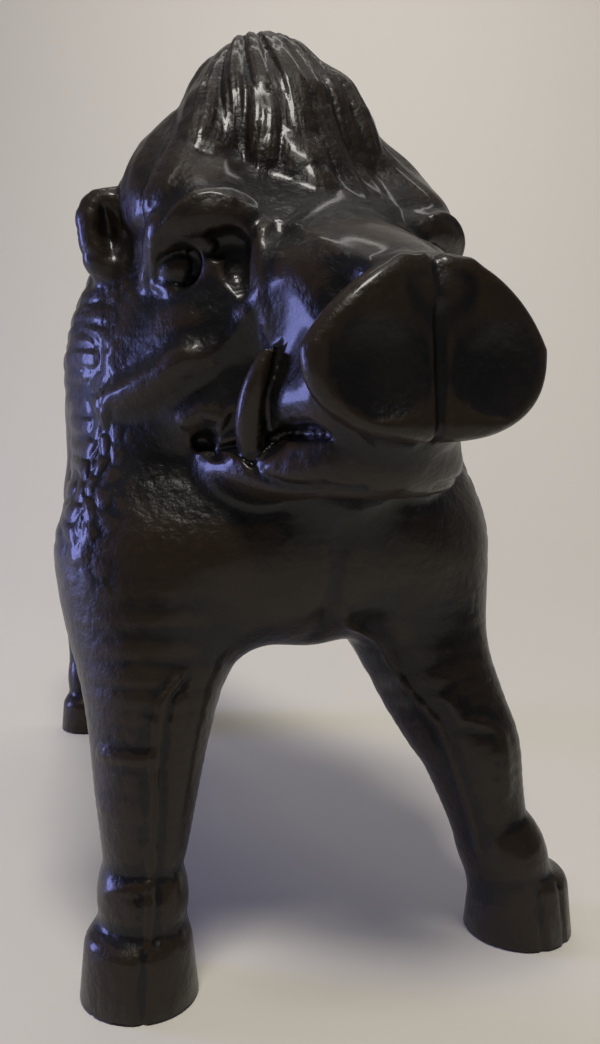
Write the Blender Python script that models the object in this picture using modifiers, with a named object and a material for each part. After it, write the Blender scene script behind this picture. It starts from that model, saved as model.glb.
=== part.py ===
"""Cast iron boar figure, a single hollow casting that stands on its own four feet.

The boar faces -Y, its left side is +X, and the soles stand on z = 0. The form is a set of
masses, such as skull, jowl, shoulder and thigh, given as shares of the height at the crest.
The masses are joined and remeshed, then every point is drawn onto the smooth skin that
blends them, and the locks of the mane and ruff are raised along the skin's own direction.
"""

import math

import bmesh
import bpy
import numpy as np
from mathutils import Euler, Matrix, Vector

# Driving sizes in metres
HEIGHT = 0.210            # soles to the top of the crest
VOXEL = 0.0016            # grid of the remeshed skin
HOOF_HEIGHT = 0.0152      # sole to the coronet of a front hoof
HOOF_SOLE_RADIUS = 0.0124
HIND_HOOF_HEIGHT = 0.0125
HIND_HOOF_SOLE_RADIUS = 0.0092
MOUTH_WIDTH = 0.0016      # groove between the lips
MOUTH_DEPTH = 0.0030
SNOUT_GROOVE_WIDTH = 0.0014
SNOUT_GROOVE_DEPTH = 0.0009
FACES = 9600              # triangles of the finished skin

COLOUR = (0.035, 0.024, 0.018, 1.0)
ROUGHNESS = 0.32
METALLIC = 0.75


def share(*values):
    """A place or size given as shares of the height."""
    return np.array(values, dtype=float) * HEIGHT


NEAR = 0.03               # how far round a mass its skin is worked out, in shares of the height
BURIED = 0.35             # how far the hooves run below the floor before they are cut flat
CURVE_STEPS = 4           # parts of each stretch of a smooth curve


# Blending of distances

def blend_min(a, b, soft):
    """Union of two skins with a fillet."""
    near = np.maximum(soft - np.abs(a - b), 0.0) / soft
    return np.minimum(a, b) - near * near * soft * 0.25


def blend_max(a, b, soft):
    return -blend_min(-a, -b, soft)


def smoothstep(low, high, value):
    t = np.clip((value - low) / (high - low), 0.0, 1.0)
    return t * t * (3.0 - 2.0 * t)


# Masses

def add_hull(bm, places):
    """A closed skin stretched over a round ball at each place."""
    hull = bmesh.new()
    for place in places:
        bmesh.ops.create_icosphere(hull, subdivisions=3, radius=1.0, matrix=place)
    bmesh.ops.delete(hull, geom=hull.faces[:], context="FACES_ONLY")
    bmesh.ops.delete(hull, geom=hull.edges[:], context="EDGES_FACES")
    bmesh.ops.convex_hull(hull, input=hull.verts[:])
    spare = [v for v in hull.verts if not v.link_faces]
    bmesh.ops.delete(hull, geom=spare, context="VERTS")
    mesh = bpy.data.meshes.new("hull")
    hull.to_mesh(mesh)
    hull.free()
    bm.from_mesh(mesh)
    bpy.data.meshes.remove(mesh)


def merge(found, points, mass, soft, cut=False):
    """Add a mass to the skin, or cut it away, where it is near enough to matter."""
    close = np.linalg.norm(points - mass.centre, axis=1) < mass.bound + NEAR * HEIGHT + soft
    one = mass.distance(points[close])
    if cut:
        found[close] = blend_max(found[close], -one, soft)
    else:
        found[close] = blend_min(found[close], one, soft)


class Ball:
    """An ellipsoid, turned by degrees about X, Y and Z."""

    def __init__(self, centre, radii, turn=(0, 0, 0)):
        self.centre = share(*centre)
        self.radii = share(*radii)
        self.euler = Euler([math.radians(t) for t in turn])
        self.rows = np.array(self.euler.to_matrix())
        self.bound = self.radii.max()

    def distance(self, points):
        local = (points - self.centre) @ self.rows
        k0 = np.linalg.norm(local / self.radii, axis=1) + 1e-9
        k1 = np.linalg.norm(local / self.radii ** 2, axis=1) + 1e-9
        return k0 * (k0 - 1.0) / k1

    def build(self, bm, side):
        place = Matrix.Translation(Vector(self.centre)) @ self.euler.to_matrix().to_4x4()
        place = place @ Matrix.Diagonal((*self.radii, 1.0))
        mirror = Matrix.Diagonal((side, 1.0, 1.0, 1.0))
        bmesh.ops.create_icosphere(bm, subdivisions=3, radius=1.0, matrix=mirror @ place)


def smooth_path(stations):
    """More stations on a smooth curve through those given."""
    known = np.array(stations, dtype=float)
    known = np.vstack([2 * known[0] - known[1], known, 2 * known[-1] - known[-2]])
    made = []
    for a, b, c, d in zip(known, known[1:], known[2:], known[3:]):
        for t in np.arange(CURVE_STEPS) / CURVE_STEPS:
            made.append(0.5 * (2 * b + (c - a) * t + (2 * a - 5 * b + 4 * c - d) * t ** 2
                               + (3 * b - a - 3 * c + d) * t ** 3))
    return made + [known[-2]]


class Chain:
    """Round stations (x, y, z, radius) joined by cones, such as a leg or a lock of hair.

    With no softness the stations are joined along a smooth curve instead of filleted."""

    def __init__(self, stations, soft=0.03, flat=(1, 1, 1)):
        if not soft:
            stations = smooth_path(stations)
        self.stations = [share(*s) for s in stations]
        self.soft = soft * HEIGHT
        self.flat = np.array(flat, dtype=float)
        places = np.array([s[:3] for s in self.stations])
        self.centre = (places.min(axis=0) + places.max(axis=0)) / 2.0
        reach = np.linalg.norm(places - self.centre, axis=1).max()
        self.bound = reach + max(s[3] for s in self.stations) * self.flat.max()

    def distance(self, points):
        found = None
        for a, b in zip(self.stations, self.stations[1:]):
            start, end = a[:3] / self.flat, b[:3] / self.flat
            way = end - start
            local = points / self.flat - start
            t = np.clip(local @ way / (way @ way), 0.0, 1.0)
            gap = np.linalg.norm(local - t[:, None] * way, axis=1)
            one = (gap - (a[3] + (b[3] - a[3]) * t)) * self.flat.min()
            if found is None:
                found = one
            elif self.soft:
                found = blend_min(found, one, self.soft)
            else:
                found = np.minimum(found, one)
        return found

    def build(self, bm, side):
        for a, b in zip(self.stations, self.stations[1:]):
            places = []
            for s in (a, b):
                place = Matrix.Diagonal((side, 1.0, 1.0, 1.0)) @ Matrix.Translation(Vector(s[:3]))
                places.append(place @ Matrix.Diagonal((*(self.flat * s[3]), 1.0)))
            add_hull(bm, places)


class Trunk:
    """Oval sections along Y: (y, top, bottom, half width)."""

    def __init__(self, sections, end):
        self.table = np.array([share(*s) for s in sections])
        self.end = end * HEIGHT
        low = np.array([0.0, self.table[0, 0] - self.end, self.table[:, 2].min()])
        high = np.array([self.table[:, 3].max(), self.table[-1, 0] + self.end, self.table[:, 1].max()])
        self.centre = (low + high) / 2.0
        self.bound = np.linalg.norm(high - low) / 2.0

    def section(self, y):
        ys, top, bottom, wide = self.table.T
        return [np.interp(y, ys, row) for row in ((top + bottom) / 2, (top - bottom) / 2, wide)]

    def distance(self, points):
        y = points[:, 1]
        inside = np.clip(y, self.table[0, 0], self.table[-1, 0])
        middle, tall, wide = self.section(inside)
        local = np.stack([points[:, 0] / wide, (y - inside) / self.end,
                          (points[:, 2] - middle) / tall], axis=1)
        return (np.linalg.norm(local, axis=1) - 1.0) * np.minimum(tall, wide)

    def build(self, bm, side):
        if side < 0:
            return
        for a, b in zip(self.table, self.table[1:]):
            places = []
            for y in (a[0], b[0]):
                middle, tall, wide = self.section(y)
                place = Matrix.Translation((0, y, middle))
                places.append(place @ Matrix.Diagonal((wide, self.end, tall, 1)))
            add_hull(bm, places)


class Hoof:
    """A short cone with a rounded coronet; its place is (x, y) of the sole's middle."""

    def __init__(self, place, height, sole, top_share=0.88, long_share=1.04):
        self.place = share(*place)
        self.height = height
        self.sole = sole
        self.top = sole * top_share
        self.long_share = long_share
        self.centre = np.array([*self.place, height / 2])
        self.bound = sole + height

    def distance(self, points):
        rise = np.clip(points[:, 2] / self.height, -BURIED, 1.2)
        radius = self.sole + (self.top - self.sole) * rise
        x = points[:, 0] - self.place[0]
        y = points[:, 1] - self.place[1]
        out = np.hypot(x, y / self.long_share) - radius
        return blend_max(out, points[:, 2] - self.height, 0.25 * self.height)

    def build(self, bm, side):
        place = Matrix.Diagonal((side, 1.0, 1.0, 1.0))
        middle = (self.place[0], self.place[1], self.height * (1.0 - BURIED) / 2)
        place = place @ Matrix.Translation(middle) @ Matrix.Diagonal((1, self.long_share, 1, 1))
        bmesh.ops.create_cone(bm, cap_ends=True, segments=32, radius1=self.sole,
                              radius2=self.top, depth=self.height * (1.0 + BURIED), matrix=place)


class Disc:
    """The flat egg-shaped front of the snout, a short plug along Y with a rounded rim."""

    def __init__(self, centre, wide, tall, thick, rim, tilt):
        self.centre = share(*centre)
        self.wide, self.tall, self.thick, self.rim = share(wide, tall, thick, rim)
        self.tilt = math.radians(tilt)
        self.bound = self.wide + self.thick

    def distance(self, points):
        c, s = math.cos(self.tilt), math.sin(self.tilt)
        x, y, z = (points - self.centre).T
        y, z = y * c + z * s, z * c - y * s
        wide = self.wide * (1.0 - SNOUT_PEAK * np.clip(z / self.tall, 0.0, 1.0))
        power = SNOUT_SQUARE
        k = (np.abs(x / wide) ** power + np.abs(z / self.tall) ** power) ** (1.0 / power) + 1e-6
        out = np.hypot(x, z) * (1.0 - 1.0 / k)
        split = groove(np.abs(x), SNOUT_GROOVE_WIDTH, SNOUT_GROOVE_DEPTH)
        swell = SNOUT_LOBE * HEIGHT * (1.0 - (2.0 * np.abs(x) / self.wide - 0.9) ** 2)
        front = -y - self.thick - np.maximum(swell, -0.5 * SNOUT_LOBE * HEIGHT)
        return blend_max(blend_max(out + split, front + split, self.rim), y - self.thick, self.rim)

    def build(self, bm, side):
        if side < 0:
            return
        place = Matrix.Translation(Vector(self.centre)) @ Matrix.Rotation(-self.tilt, 4, "X")
        place = place @ Matrix.Diagonal((self.wide, 1.0, self.tall, 1.0))
        place = place @ Matrix.Rotation(math.pi / 2, 4, "X")
        bmesh.ops.create_cone(bm, cap_ends=True, segments=48, radius1=1.0, radius2=1.0,
                              depth=2 * self.thick, matrix=place)


def groove(distance, width, depth):
    """Depth of a round groove at a distance from its line."""
    return depth * np.exp(-1.4 * (distance / width) ** 2)


def sheet_distance(points, path, through):
    """Distance to a sheet that runs through a path along one direction."""
    way = np.array(through, dtype=float)
    way /= np.linalg.norm(way)
    flat = points - (points @ way)[:, None] * way
    best = np.full(len(points), np.inf)
    places = [share(*p) for p in path]
    level = np.mean([p @ way for p in places])
    places = [p - (p @ way) * way for p in places]
    for a, b in zip(places, places[1:]):
        step = b - a
        t = np.clip((flat - a) @ step / (step @ step), 0.0, 1.0)
        best = np.minimum(best, np.linalg.norm(flat - a - t[:, None] * step, axis=1))
    return np.hypot(best, np.maximum(np.abs(points @ way - level) - SHEET_REACH * HEIGHT, 0.0))


# The form, in shares of the height. Each mass is (mass, fillet, both sides).

SNOUT_PEAK = 0.42         # how much the disc narrows to its top
SNOUT_SQUARE = 2.4
SNOUT_LOBE = 0.010        # swell of each lobe
SHEET_REACH = 0.060       # how far a groove's sheet reaches each way from its path
SIDE_VIEW = (0.366, -0.930, 0.042)    # from the mouth's side towards a viewer in front

BODY = Trunk([(0.14, 0.84, 0.37, 0.180),
              (0.22, 0.86, 0.36, 0.198),
              (0.34, 0.83, 0.355, 0.184),
              (0.48, 0.790, 0.352, 0.154),
              (0.60, 0.765, 0.372, 0.124),
              (0.72, 0.740, 0.420, 0.102),
              (0.84, 0.690, 0.450, 0.078)], end=0.10)
MUZZLE = Trunk([(-0.125, 0.690, 0.545, 0.076),
                (-0.075, 0.715, 0.530, 0.084),
                (0.000, 0.755, 0.515, 0.092),
                (0.070, 0.790, 0.505, 0.118)], end=0.03)

MASSES = [
    # crest, skull and the sides of the forehead
    (Chain([(0, 0.120, 0.790, 0.045), (0.006, 0.165, 0.826, 0.064), (0.010, 0.222, 0.891, 0.084),
            (0, 0.340, 0.806, 0.060), (0, 0.500, 0.762, 0.048), (0, 0.700, 0.716, 0.040)]), 0.04, False),
    (Ball((0.002, 0.178, 0.822), (0.144, 0.086, 0.110)), 0.04, False),
    (Ball((0, 0.185, 0.770), (0.150, 0.120, 0.110)), 0.04, False),
    (Ball((0.108, 0.140, 0.784), (0.064, 0.080, 0.070), (20, 0, 0)), 0.03, True),
    (Ball((0.120, 0.088, 0.776), (0.044, 0.050, 0.038)), 0.03, True),
    (MUZZLE, 0.05, False),
    (Ball((0, 0.090, 0.700), (0.140, 0.100, 0.100)), 0.05, False),
    # jaw, jowls and throat
    (Chain([(0, -0.072, 0.553, 0.050), (0, 0.020, 0.570, 0.072), (0, 0.120, 0.570, 0.100)],
           flat=(1.22, 1, 1)), 0.03, False),
    (Ball((0.104, 0.135, 0.600), (0.080, 0.102, 0.106)), 0.05, True),
    (Ball((0.132, 0.225, 0.600), (0.082, 0.105, 0.150)), 0.05, True),
    # chest and shoulders
    (Ball((0, 0.095, 0.450), (0.122, 0.100, 0.122)), 0.05, False),
    (Ball((0.088, 0.072, 0.436), (0.078, 0.070, 0.092)), 0.04, True),
    (Ball((0.156, 0.165, 0.430), (0.082, 0.105, 0.145)), 0.05, True),
    # rump and thighs
    (Ball((0.034, 0.790, 0.570), (0.058, 0.130, 0.140)), 0.05, True),
    (Ball((0.056, 0.745, 0.460), (0.048, 0.105, 0.130), (14, 0, 0)), 0.04, True),
]

LEG_DEPTH = 1.2           # legs are deeper along the body than they are wide
RIGHT_FRONT_LEG = [(-0.160, 0.140, 0.420, 0.082), (-0.170, 0.105, 0.320, 0.071),
                   (-0.179, 0.088, 0.255, 0.059), (-0.186, 0.076, 0.205, 0.051),
                   (-0.190, 0.070, 0.160, 0.0440), (-0.193, 0.068, 0.128, 0.0395),
                   (-0.195, 0.064, 0.100, 0.0450), (-0.197, 0.060, 0.072, 0.0410)]
LEFT_FRONT_LEG = [(0.150, 0.135, 0.420, 0.078), (0.146, 0.085, 0.310, 0.068),
                  (0.162, 0.055, 0.245, 0.060), (0.173, 0.035, 0.210, 0.054),
                  (0.182, 0.022, 0.160, 0.045), (0.188, 0.012, 0.125, 0.041),
                  (0.199, 0.004, 0.096, 0.046), (0.207, 0.000, 0.070, 0.043)]
HIND_LEG = [(0.060, 0.720, 0.430, 0.056), (0.060, 0.745, 0.350, 0.046),
            (0.058, 0.820, 0.275, 0.036), (0.058, 0.900, 0.222, 0.030),
            (0.060, 0.915, 0.190, 0.028), (0.061, 0.912, 0.130, 0.024),
            (0.062, 0.905, 0.092, 0.028), (0.062, 0.898, 0.064, 0.027)]

FACE = [
    # flat bridge of the nose
    (Ball((0, -0.045, 0.722), (0.062, 0.125, 0.030), (22, 0, 0)), 0.012, False),
    # brow over the eye
    (Chain([(0.082, 0.034, 0.750, 0.012), (0.104, 0.034, 0.762, 0.018), (0.128, 0.042, 0.764, 0.019),
            (0.147, 0.058, 0.757, 0.019), (0.157, 0.082, 0.742, 0.017), (0.160, 0.108, 0.714, 0.013)],
           0), 0.014, True),
    # side of the snout under the bridge, with the ridge in front of the eye's hollow
    (Ball((0.062, -0.015, 0.685), (0.036, 0.080, 0.048), (0, 0, -6)), 0.02, True),
    (Chain([(0.078, 0.018, 0.742, 0.009), (0.084, 0.002, 0.716, 0.011), (0.088, -0.010, 0.690, 0.011),
            (0.100, 0.000, 0.672, 0.008)], 0), 0.012, True),
    # upper lip beside the tusk and cheek fold behind the mouth
    (Chain([(0.052, -0.080, 0.592, 0.032), (0.066, -0.015, 0.590, 0.032)]), 0.02, True),
    (Chain([(0.092, 0.050, 0.592, 0.032), (0.108, 0.080, 0.600, 0.036)]), 0.03, True),
    (Chain([(0.092, 0.034, 0.655, 0.024), (0.120, 0.072, 0.650, 0.030),
            (0.150, 0.142, 0.626, 0.038)]), 0.03, True),
    # ridge of fur across the cheek
    (Chain([(0.122, 0.036, 0.640, 0.012), (0.134, 0.040, 0.632, 0.016), (0.147, 0.048, 0.627, 0.019),
            (0.160, 0.068, 0.613, 0.020), (0.176, 0.100, 0.598, 0.022), (0.190, 0.134, 0.586, 0.022)], 0),
     0.012, True),
    # lower lip
    (Chain([(0.000, -0.094, 0.536, 0.027), (0.050, -0.074, 0.533, 0.028), (0.084, -0.020, 0.526, 0.028),
            (0.104, 0.030, 0.528, 0.027), (0.106, 0.060, 0.535, 0.022)], 0), 0.02, True),
]
EYE_FRONT_HOLLOW = Chain([(0.120, 0.030, 0.734, 0.0140), (0.108, 0.022, 0.734, 0.0150),
                          (0.108, 0.018, 0.714, 0.0140), (0.106, 0.006, 0.692, 0.0070)], 0)
SNOUT_HOLLOW = Ball((0.114, -0.066, 0.652), (0.026, 0.036, 0.044))
EYE_SOCKET = Ball((0.144, 0.060, 0.716), (0.024, 0.016, 0.024))
EYE = Ball((0.141, 0.082, 0.718), (0.021, 0.021, 0.022))
UPPER_LID = Chain([(0.163, 0.092, 0.724, 0.006), (0.159, 0.070, 0.738, 0.009), (0.147, 0.060, 0.744, 0.010),
                   (0.133, 0.052, 0.742, 0.009), (0.123, 0.044, 0.736, 0.006)], 0)
LOWER_LID = Chain([(0.160, 0.092, 0.704, 0.004), (0.150, 0.071, 0.695, 0.006),
                   (0.137, 0.058, 0.694, 0.006), (0.126, 0.048, 0.702, 0.006), (0.122, 0.040, 0.716, 0.005)], 0)
EAR = Chain([(0.145, 0.190, 0.740, 0.034), (0.172, 0.184, 0.752, 0.029),
             (0.186, 0.182, 0.774, 0.022)], flat=(1, 0.7, 1.2))
EAR_HOLLOW = Ball((0.188, 0.156, 0.764), (0.015, 0.024, 0.030), (0, 10, 0))
TUSK = Chain([(0.100, -0.006, 0.545, 0.0150), (0.106, -0.014, 0.568, 0.0155),
              (0.108, -0.024, 0.594, 0.0130), (0.104, -0.032, 0.618, 0.0095),
              (0.097, -0.036, 0.640, 0.0040)], 0)
SNOUT = Disc((0, -0.148, 0.634), wide=0.119, tall=0.079, thick=0.014, rim=0.016, tilt=-5)
NOSTRIL = Ball((0.062, -0.176, 0.614), (0.034, 0.010, 0.030))
TAIL = Chain([(0.012, 0.945, 0.640, 0.016), (0.024, 0.966, 0.560, 0.014),
              (0.034, 0.962, 0.470, 0.014), (0.036, 0.950, 0.400, 0.008)], 0.02)

CREST_Y = 0.250           # the strands of the mane fan out round this place

# Broad locks of the forelock: (x, y, z, half width), and how proud a lock stands for its width
FORELOCK = [
    [(-0.012, 0.195, 0.975, 0.030), (-0.020, 0.135, 0.925, 0.040), (-0.028, 0.095, 0.875, 0.040),
     (-0.022, 0.066, 0.835, 0.030), (-0.008, 0.044, 0.795, 0.010)],
    [(0.036, 0.180, 0.965, 0.016), (0.056, 0.130, 0.920, 0.020), (0.070, 0.098, 0.878, 0.016),
     (0.066, 0.076, 0.845, 0.005)],
    [(-0.074, 0.150, 0.930, 0.018), (-0.090, 0.120, 0.890, 0.018), (-0.104, 0.098, 0.858, 0.012),
     (-0.108, 0.086, 0.836, 0.004)],
]
LOCK_FILLET = 0.006
FORELOCK_PROUD = 0.24

MOUTH = [(0.128, 0.050, 0.552), (0.120, 0.040, 0.541), (0.108, 0.020, 0.546), (0.098, 0.002, 0.535),
         (0.080, -0.030, 0.560), (0.060, -0.060, 0.562), (0.030, -0.090, 0.560), (0.000, -0.105, 0.560)]
MOUTH_CORNER = Ball((0.134, 0.036, 0.551), (0.0105, 0.022, 0.0105))
LIP_GAP = Chain([(0.120, 0.008, 0.560, 0.0055), (0.118, -0.002, 0.574, 0.0045), (0.115, -0.012, 0.594, 0.002)], 0)

LEG_FILLET = 0.055
LEG_JOINT = 0             # the stations of a leg lie on a smooth curve
LEGS = [
    (Chain(RIGHT_FRONT_LEG, LEG_JOINT, flat=(1, LEG_DEPTH, 1)), LEG_FILLET, False),
    (Chain(LEFT_FRONT_LEG, LEG_JOINT, flat=(1, LEG_DEPTH, 1)), LEG_FILLET, False),
    (Chain(HIND_LEG, LEG_JOINT, flat=(1, LEG_DEPTH, 1)), LEG_FILLET, True),
]
HOOF_FILLET = 0.012
HOOVES = [
    (Hoof((-0.2030, 0.054), HOOF_HEIGHT, HOOF_SOLE_RADIUS), HOOF_FILLET, False),
    (Hoof((0.2190, -0.003), HOOF_HEIGHT, HOOF_SOLE_RADIUS), HOOF_FILLET, False),
    (Hoof((0.0620, 0.893), HIND_HOOF_HEIGHT, HIND_HOOF_SOLE_RADIUS), HOOF_FILLET, True),
]
# What is set on the face or cut into it, in order: (mass, fillet, cut away), on both sides
DETAILS = [
    (EYE_FRONT_HOLLOW, 0.006, True),
    (SNOUT_HOLLOW, 0.020, True),
    (EYE_SOCKET, 0.006, True),
    (EYE, 0.003, False),
    (UPPER_LID, 0.004, False),
    (LOWER_LID, 0.008, False),
    (EAR, 0.012, False),
    (EAR_HOLLOW, 0.010, True),
    (SNOUT, 0.016, False),
    (NOSTRIL, 0.022, True),
    (MOUTH_CORNER, 0.005, True),
    (LIP_GAP, 0.004, True),
    (TUSK, 0.006, False),
]
TAIL_FILLET = 0.010


def mirror_points(points):
    folded = points.copy()
    folded[:, 0] = np.abs(folded[:, 0])
    return folded


def smooth_skin(points):
    """Blended distance to the figure without hair: negative inside, zero on the skin."""
    folded = mirror_points(points)
    found = BODY.distance(folded)
    for mass, soft, both in MASSES + LEGS + HOOVES + FACE:
        merge(found, folded if both else points, mass, soft * HEIGHT)
    found += groove(sheet_distance(folded, MOUTH, SIDE_VIEW), MOUTH_WIDTH, MOUTH_DEPTH)
    for mass, soft, cut in DETAILS:
        merge(found, folded, mass, soft * HEIGHT, cut)
    merge(found, points, TAIL, TAIL_FILLET * HEIGHT)
    return found


def skin(points):
    """The smooth skin with the forelock laid on it."""
    found = smooth_skin(points)
    for lock in forelock():
        merge(found, points, lock, LOCK_FILLET * HEIGHT)
    return found


def slope(points, step, field):
    """A skin's distance and its gradient, by a small step each way."""
    here = field(points)
    rows = [field(points + step * axis) - here for axis in np.eye(3)]
    return here, np.stack(rows, axis=1) / step


def settle(points, rounds, reach, field=skin):
    """Draw points onto the skin."""
    lean = None
    for _ in range(rounds):
        here, lean = slope(points, 0.1 * VOXEL, field)
        move = here / np.maximum((lean ** 2).sum(axis=1), 0.05)
        points = points - np.clip(move, -reach, reach)[:, None] * lean
    return points, lean / np.maximum(np.linalg.norm(lean, axis=1), 1e-6)[:, None]


# Hair

def scatter(cells, seed):
    """A repeatable number from 0 to 1 for each whole-numbered cell."""
    value = np.sin(cells * 12.9898 + seed * 78.233) * 43758.5453
    return value - np.floor(value)


LAID = {}


def forelock():
    """Broad flat locks over the forehead, each sunk so that only its crown shows."""
    if "forelock" in LAID:
        return LAID["forelock"]
    made = []
    for path in FORELOCK:
        path = np.array(path)
        half = path[:, 3]
        rise = FORELOCK_PROUD * half
        radius = (half ** 2 + rise ** 2) / (2 * rise)
        places, normal = settle(path[:, :3] * HEIGHT, 4, HEIGHT, smooth_skin)
        places = places / HEIGHT - normal * (radius - rise)[:, None]
        made.append(Chain(list(np.column_stack([places, radius])), soft=0.03))
    LAID["forelock"] = made
    return made


MANE_R = 0.120            # radius at which the locks have their stated width
MANE_WIDTH = 0.0064       # carved locks of the mane, in metres
MANE_LENGTH = 0.044
MANE_RISE = 0.0006        # how far the hair stands over the forehead at its edge
MANE_DEPTH = 0.0011
HAIR_LINE = [(0.0, 0.785), (0.035, 0.792), (0.086, 0.812), (0.120, 0.812), (0.150, 0.800), (0.166, 0.765),
             (0.176, 0.68), (0.200, 0.60)]
BACK_LINE = [(0.20, 0.0), (0.30, -0.045), (0.50, -0.085), (0.75, -0.085)]    # (y, lower by)
TUFT_WIDTH = 0.0062       # tufts of the ruff
TUFT_LENGTH = 0.0130
TUFT_DEPTH = 0.0009
SIDE_LEAN = 0.5           # how far the strands behind the crest lean outwards
LENGTH_LEAN = 0.4
WAVE_DEPTH = 0.004        # gentle waves in the strands, in shares
WAVE_UP = 30.0
WAVE_ACROSS = 12.0
LANE_SWAY = 0.3           # uneven width of the locks, in lock widths
LANE_TURNS = 1.7
LOCK_BEND = 0.25          # each lock's own curve, in lock widths
LOCK_TURNS = 2.1
LOCK_POINT = 0.55         # how much narrower a lock is at its end
LOCK_ROUND = 0.7
LOCK_LOW = 0.30           # height of a lock at its ends
LOCK_START = 0.25
LOCK_END = 0.60
EDGE_UNEVEN = 0.020       # how far the hair's edge goes up and down, in shares
EDGE_POINT = 0.022
LOW_MANE = 0.6            # the mane flattens towards the neck by this share


def flow(points):
    """Hair coordinates in metres: across the strands, fanned round the crest, and along them."""
    x, y, z = points.T / HEIGHT
    ahead = CREST_Y - y
    fan = MANE_R * np.arctan2(np.abs(x), np.maximum(ahead, 1e-4))
    behind = MANE_R * math.pi / 2 - ahead
    across = np.where(ahead > 0, fan, behind)
    across -= SIDE_LEAN * np.abs(x) * smoothstep(0.15, 0.35, y)
    across += WAVE_DEPTH * np.sin(z * WAVE_UP + across * WAVE_ACROSS)
    return across * HEIGHT, (LENGTH_LEAN * np.abs(x) - z) * HEIGHT


def locks(across, along, width, length, seed):
    """Overlapping pointed locks: (height from 0 to 1, place across the lock from -1 to 1, lock's number)."""
    across = across + LANE_SWAY * width * np.sin(across / width * LANE_TURNS + seed)
    start = 2 * math.pi * scatter(np.floor(across / width / 3), seed + 1)
    bend = LOCK_BEND * np.sin(along / length * LOCK_TURNS + start)
    lane = across / width + bend
    cell = np.floor(lane)
    off = 2.0 * (lane - cell) - 1.0
    step = along / length + scatter(cell, seed)
    run = step - np.floor(step)
    half = 1.0 - LOCK_POINT * run ** 3
    body = np.clip(1.0 - (off / half) ** 2, 0.0, 1.0) ** LOCK_ROUND
    ends = smoothstep(0.0, LOCK_START, run) * (1.0 - smoothstep(LOCK_END, 1.0, run))
    return body * (LOCK_LOW + (1.0 - LOCK_LOW) * ends), off, cell


def mane_line(points):
    """Height over the hair line in shares: the forehead's edge in front, lower down the back."""
    x, y, z = points.T / HEIGHT
    line = np.interp(np.abs(x), *np.array(HAIR_LINE).T)
    return z - line - np.interp(y, *np.array(BACK_LINE).T)


def mane_share(points, off, cell):
    """1 on the mane, whose edge runs out in a point at each lock."""
    y = points[:, 1] / HEIGHT
    over = mane_line(points) - EDGE_UNEVEN * scatter(cell, 3) - EDGE_POINT * np.abs(off) ** 1.5
    return smoothstep(-0.020, 0.030, over) * (1.0 - smoothstep(0.55, 0.72, y))


def mane_height(points):
    """How far the mane's carved locks stand over the skin, in metres."""
    across, along = flow(points)
    side = np.sign(points[:, 0])
    rise, off, cell = locks(across + 0.37 * MANE_WIDTH * side, along, MANE_WIDTH, MANE_LENGTH, 4)
    near_crest = np.hypot(points[:, 0], points[:, 1] - CREST_Y * HEIGHT) / HEIGHT
    clear = smoothstep(0.015, 0.060, near_crest)
    found = MANE_RISE + MANE_DEPTH * rise * clear
    low = 1.0 - LOW_MANE * smoothstep(0.80, 0.72, points[:, 2] / HEIGHT)
    return found * low * mane_share(points, off, cell)


def ruff_share(points):
    """The short fur on the neck's sides, from the jowl back over the shoulder."""
    x, y, z = points.T / HEIGHT
    front = smoothstep(0.09, 0.15, y - 0.30 * (z - 0.60)) * smoothstep(0.10, 0.14, np.abs(x))
    tall = smoothstep(0.36, 0.46, z - 0.15 * y) * (1.0 - smoothstep(0.84, 0.90, z))
    return front * tall * (1.0 - smoothstep(0.30, 0.50, y))


def relief(points):
    """Height of the carved hair and fur over the smooth skin, in metres."""
    across, along = flow(points)
    tufts, _, _ = locks(across, along, TUFT_WIDTH, TUFT_LENGTH, 11)
    return mane_height(points) + TUFT_DEPTH * tufts * ruff_share(points)


# Mesh

def clear_scene():
    for item in list(bpy.data.objects):
        bpy.data.objects.remove(item, do_unlink=True)


def rough_masses():
    """All masses as overlapping primitives in one mesh."""
    bm = bmesh.new()
    pairs = [(BODY, False), (TAIL, False)]
    pairs += [(mass, both) for mass, _, both in MASSES + LEGS + HOOVES + FACE]
    pairs += [(lock, False) for lock in forelock()]
    pairs += [(mass, True) for mass, _, cut in DETAILS if not cut]
    for mass, both in pairs:
        mass.build(bm, 1)
        if both:
            mass.build(bm, -1)
    mesh = bpy.data.meshes.new("boar")
    bm.to_mesh(mesh)
    bm.free()
    return mesh


def apply_modifier(item, kind, **settings):
    modifier = item.modifiers.new(kind.title(), kind)
    for name, value in settings.items():
        setattr(modifier, name, value)
    depsgraph = bpy.context.evaluated_depsgraph_get()
    made = bpy.data.meshes.new_from_object(item.evaluated_get(depsgraph))
    item.modifiers.clear()
    old, item.data = item.data, made
    bpy.data.meshes.remove(old)


def get_points(mesh):
    flat = np.empty(len(mesh.vertices) * 3)
    mesh.vertices.foreach_get("co", flat)
    return flat.reshape(-1, 3)


def set_points(mesh, points):
    mesh.vertices.foreach_set("co", points.ravel())
    mesh.update()


def make_boar():
    item = bpy.data.objects.new("boar", rough_masses())
    bpy.context.scene.collection.objects.link(item)
    apply_modifier(item, "REMESH", mode="VOXEL", voxel_size=VOXEL)
    points, _ = settle(get_points(item.data), 4, 1.5 * VOXEL)
    set_points(item.data, points)
    apply_modifier(item, "REMESH", mode="VOXEL", voxel_size=VOXEL)
    points, normal = settle(get_points(item.data), 3, VOXEL)
    set_points(item.data, points + normal * relief(points)[:, None])
    return item


def thin_out(item):
    """Fewer triangles, kept where the form turns."""
    apply_modifier(item, "TRIANGULATE")
    apply_modifier(item, "DECIMATE", decimate_type="COLLAPSE",
                   ratio=FACES / len(item.data.polygons))


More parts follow.
